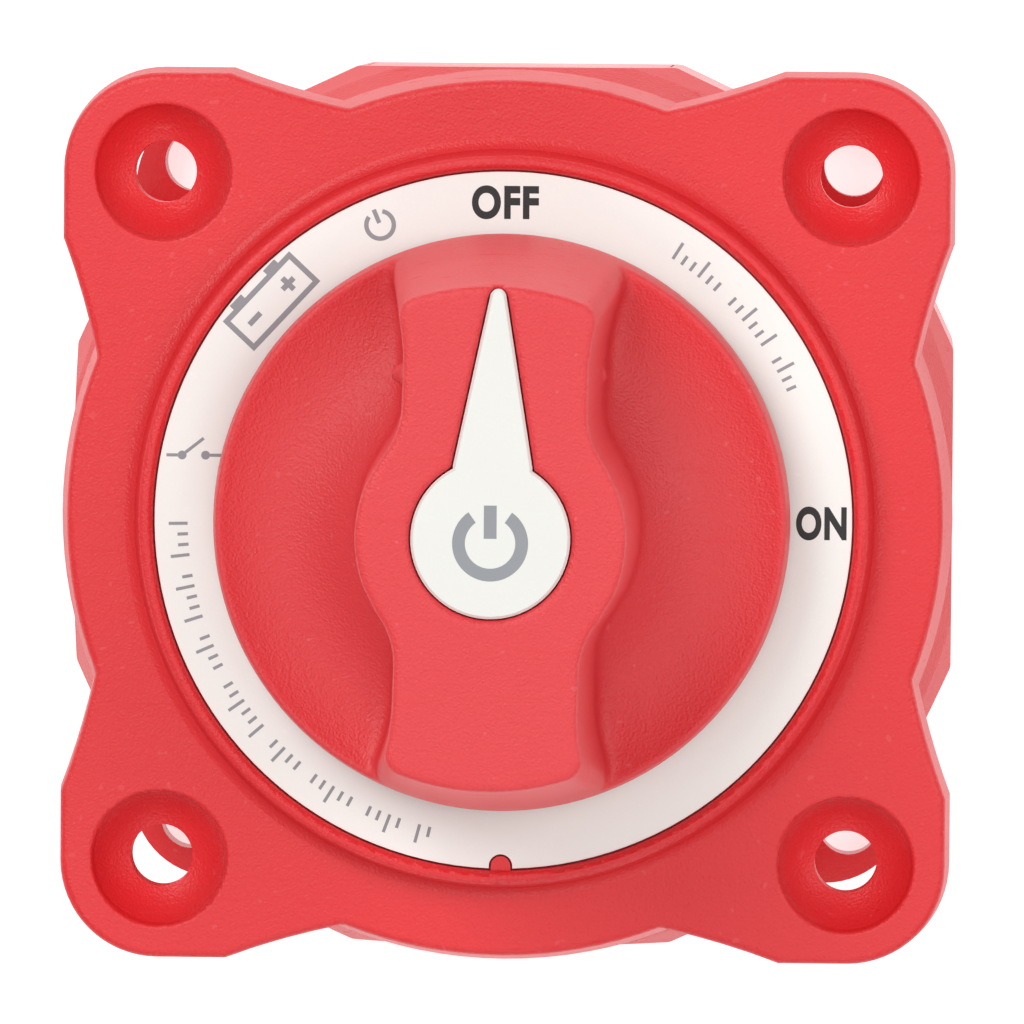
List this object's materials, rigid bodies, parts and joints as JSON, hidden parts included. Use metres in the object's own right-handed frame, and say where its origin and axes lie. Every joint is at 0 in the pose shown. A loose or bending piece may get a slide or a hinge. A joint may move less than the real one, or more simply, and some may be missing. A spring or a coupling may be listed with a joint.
{
  "type": "rotary battery switch",
  "caption": "Square-flanged rotary battery isolator with a quarter-turn grip knob, ring label, rear terminal chamber with threaded studs, snap-off cover and removable cable-exit panels.",
  "frame": {"origin": "centre of the rear mounting plane", "axes": "+Z out of the front face at the knob, +Y up towards the OFF position, +X to the right towards the ON position"},
  "size_m": [0.0688, 0.0688, 0.0747],
  "materials": {
    "red_case": "satin moulded glass-filled plastic with a fine orange-peel grain",
    "red_knob": "satin moulded plastic, spark-eroded grain on the grip and in the wells",
    "label": "white printed label, satin",
    "pointer": null,
    "black_moulding": "glass-filled thermoset, matt",
    "rubber": "soft black rubber",
    "steel": "stainless steel, satin",
    "copper": "bare copper, satin",
    "tinned_copper": "tin-plated copper",
    "silver_contact": "silver alloy contact"
  },
  "bodies": {
    "case": {"front_housing": "red_case", "label_ring": "label", "rear_housing": "red_case", "contact_base": "black_moulding", "stud_seals": "rubber", "terminal_stud_left": "tinned_copper", "terminal_stud_right": "tinned_copper", "fixed_tips": "silver_contact", "flat_washers": "steel", "lock_washers": "steel", "stud_nuts": "steel", "base_gasket": "rubber", "case_screws": "steel", "detent_leaf_right": "steel", "detent_leaf_left": "steel"},
    "knob": {"knob": "red_knob", "pointer_insert": "pointer", "knob_screw": "steel", "rotor": "black_moulding", "shaft_seal": "rubber", "thrust_washer": "steel", "contact_bridge": "copper", "bridge_tips": "silver_contact", "bridge_retainer": "black_moulding", "retainer_screws": "steel", "pressure_spring": "steel"},
    "rear_cover": {"rear_cover": "red_case"},
    "panel_right": {"side_panel_right": "red_case"},
    "panel_top": {"side_panel_top": "red_case"},
    "panel_left": {"side_panel_left": "red_case"},
    "panel_bottom": {"side_panel_bottom": "red_case"}
  },
  "joints": [
    {"name": "knob_turn", "type": "hinge", "parent": "case", "child": "knob", "pos_m": [0, 0, 0.0444], "axis": [0, 0, -1], "range_deg": [0, 90], "deforming": ["detent_leaf_right", "detent_leaf_left"]},
    {"name": "cover_release", "type": "slide", "parent": "case", "child": "rear_cover", "axis": [0, 0, -1], "range_m": [0, 0.04]},
    {"name": "panel_right_release", "type": "slide", "parent": "case", "child": "panel_right", "axis": [1, 0, 0], "range_m": [0, 0.015]},
    {"name": "panel_top_release", "type": "slide", "parent": "case", "child": "panel_top", "axis": [0, 1, 0], "range_m": [0, 0.015]},
    {"name": "panel_left_release", "type": "slide", "parent": "case", "child": "panel_left", "axis": [-1, 0, 0], "range_m": [0, 0.015]},
    {"name": "panel_bottom_release", "type": "slide", "parent": "case", "child": "panel_bottom", "axis": [0, -1, 0], "range_m": [0, 0.015]}
  ]
}
